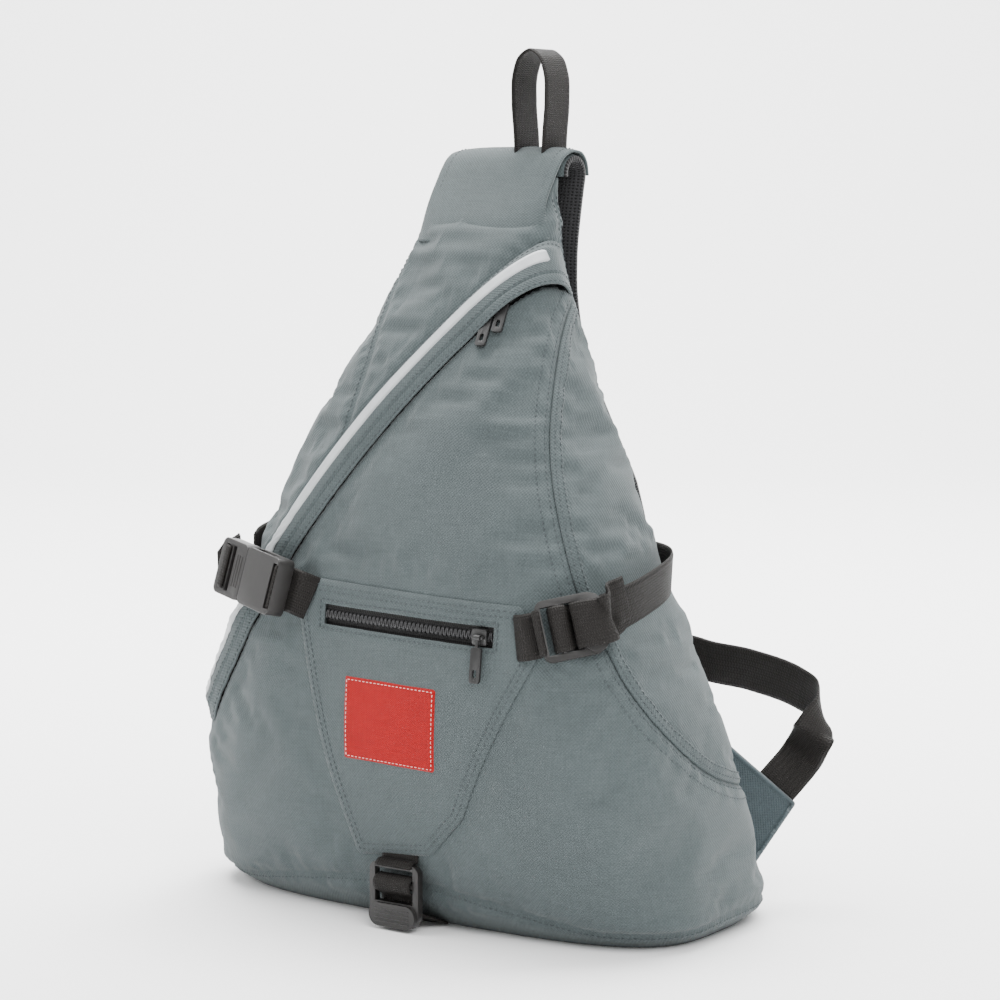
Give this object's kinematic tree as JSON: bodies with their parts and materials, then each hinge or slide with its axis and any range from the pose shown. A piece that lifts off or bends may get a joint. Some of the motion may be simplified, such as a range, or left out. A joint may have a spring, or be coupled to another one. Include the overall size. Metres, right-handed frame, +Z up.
{
  "type": "sling bag",
  "caption": "Teardrop sling bag with a padded strap, diagonal zip under a storm flap, shield-shaped front pocket, compression straps and a grab loop.",
  "frame": {"origin": "centre of the base, on the floor; the middle of the strap fold is straight above x = 0", "axes": "+X to the right as seen from the front, +Y towards the back panel and the shoulder strap, +Z up"},
  "size_m": [0.3447, 0.2483, 0.497],
  "materials": {
    "canvas": "matte woven nylon canvas",
    "mesh": "black spacer mesh",
    "foam": "closed-cell foam",
    "lining": "coated nylon",
    "patch": "plain woven red patch",
    "reflective": "retroreflective tape",
    "zip": "woven zip tape",
    "zip_coil": "nylon coil",
    "slider": "black painted die casting",
    "webbing": "ribbed nylon webbing",
    "acetal": "moulded acetal"
  },
  "bodies": {
    "bag": {"front_panel": "canvas", "upper_panel": "canvas", "left_gusset": "canvas", "right_side_panel": "canvas", "bottom_panel": "canvas", "zip_flap": "canvas", "pocket_panel": "canvas", "corner_tab": "canvas", "side_pocket_binding": "canvas", "back_panel": "mesh", "back_foam": "foam", "back_lining": "lining", "pocket_bag": "lining", "top_seam": "lining", "patch": "patch", "reflective_strip": "reflective", "pocket_zip_tape": "zip", "main_zip_tape": "zip", "pocket_zip_coil": "zip_coil", "main_zip_coil": "zip_coil", "right_web_stub": "webbing", "right_webbing": "webbing", "right_webbing_tail": "webbing", "left_web_stub": "webbing", "left_webbing": "webbing", "left_webbing_front": "webbing", "bottom_web_stub": "webbing", "bottom_webbing": "webbing", "shoulder_webbing": "webbing", "clip_socket": "acetal"},
    "strap": {"fold_shell": "canvas", "fold_foam": "foam", "fold_mesh": "mesh", "strap_shell": "canvas", "strap_foam": "foam", "strap_mesh": "mesh", "strap_end_webbing": "webbing"},
    "strap_lock": {"strap_buckle": "acetal"},
    "right_lock": {"right_buckle": "acetal"},
    "bottom_lock": {"bottom_buckle": "acetal"},
    "clip_male": {"clip_plug": "acetal"},
    "prong_upper": {"clip_prong_upper": "acetal"},
    "prong_lower": {"clip_prong_lower": "acetal"},
    "pocket_slider_body": {"pocket_slider": "slider"},
    "pocket_pull_body": {"pocket_pull": "slider"},
    "main_lower_slider": {"main_slider_lower": "slider"},
    "main_lower_pull": {"main_pull_lower": "slider"},
    "main_upper_slider": {"main_slider_upper": "slider"},
    "main_upper_pull": {"main_pull_upper": "slider"},
    "handle": {"grab_handle": "webbing"}
  },
  "joints": [
    {"name": "strap_swing", "type": "hinge", "parent": "bag", "child": "strap", "pos_m": [0, 0.032, 0.424], "axis": [1, 0, 0], "range_deg": [0, 50], "deforming": ["fold_shell", "fold_foam", "fold_mesh", "shoulder_webbing"]},
    {"name": "strap_buckle_tilt", "type": "hinge", "parent": "strap", "child": "strap_lock", "pos_m": [0.02189, 0.11799, 0.17317], "axis": [0.8336, 0, 0.5524], "range_deg": [0, 35]},
    {"name": "right_buckle_tilt", "type": "hinge", "parent": "bag", "child": "right_lock", "pos_m": [0.1044, -0.09565, 0.17844], "axis": [0.3213, -0.1001, -0.9417], "range_deg": [0, 40], "deforming": ["right_webbing", "right_webbing_tail"]},
    {"name": "bottom_buckle_tilt", "type": "hinge", "parent": "bag", "child": "bottom_lock", "pos_m": [0.00504, -0.09471, 0.03706], "axis": [-1, 0, 0], "range_deg": [0, 40], "deforming": ["bottom_webbing"]},
    {"name": "clip_release", "type": "slide", "parent": "bag", "child": "clip_male", "axis": [-0.9383, 0.3244, 0.1199], "range_m": [0, 0.026], "deforming": ["left_webbing_front"]},
    {"name": "prong_upper_flex", "type": "hinge", "parent": "clip_male", "child": "prong_upper", "pos_m": [-0.09461, -0.10483, 0.18671], "axis": [-0.2945, -0.9313, 0.2146], "range_deg": [0, 11.5]},
    {"name": "prong_lower_flex", "type": "hinge", "parent": "clip_male", "child": "prong_lower", "pos_m": [-0.09134, -0.10184, 0.20416], "axis": [-0.2945, -0.9313, 0.2146], "range_deg": [-11.5, 0]},
    {"name": "pocket_zip_open", "type": "hinge", "parent": "bag", "child": "pocket_slider_body", "pos_m": [-0.00183, 0.58759, 0.17594], "axis": [-0.0357, 0, -0.9994], "range_deg": [-0.2, 8.29]},
    {"name": "pocket_pull_flip", "type": "hinge", "parent": "pocket_slider_body", "child": "pocket_pull_body", "pos_m": [0.06668, -0.10228, 0.17349], "axis": [-0.9945, -0.0989, 0.0355], "range_deg": [0, 110]},
    {"name": "main_zip_open", "type": "hinge", "parent": "bag", "child": "main_lower_slider", "pos_m": [-0.01495, 0.29678, 0.14166], "axis": [0.8095, -0.2248, -0.5424], "range_deg": [0, 22.43]},
    {"name": "main_lower_pull_lift", "type": "hinge", "parent": "main_lower_slider", "child": "main_lower_pull", "pos_m": [0.03121, -0.03906, 0.34972], "axis": [-0.5756, -0.4864, -0.6574], "range_deg": [0, 12]},
    {"name": "main_upper_to_stop", "type": "hinge", "parent": "bag", "child": "main_upper_slider", "pos_m": [-0.01495, 0.29678, 0.14166], "axis": [0.8095, -0.2248, -0.5424], "range_deg": [-0.9, 0]},
    {"name": "main_upper_pull_lift", "type": "hinge", "parent": "main_upper_slider", "child": "main_upper_pull", "pos_m": [0.03798, -0.03317, 0.35739], "axis": [-0.5719, -0.5112, -0.6416], "range_deg": [0, 12]},
    {"name": "handle_fold", "type": "hinge", "parent": "bag", "child": "handle", "pos_m": [0.0165, 0.032, 0.4385], "axis": [0, 1, 0], "range_deg": [-55, 55], "deforming": ["grab_handle"]}
  ],
  "couplings": [
    {"joint": "prong_upper_flex", "follows": "clip_release", "rad_per_m": 7.3841},
    {"joint": "prong_lower_flex", "follows": "clip_release", "rad_per_m": -7.3841}
  ]
}
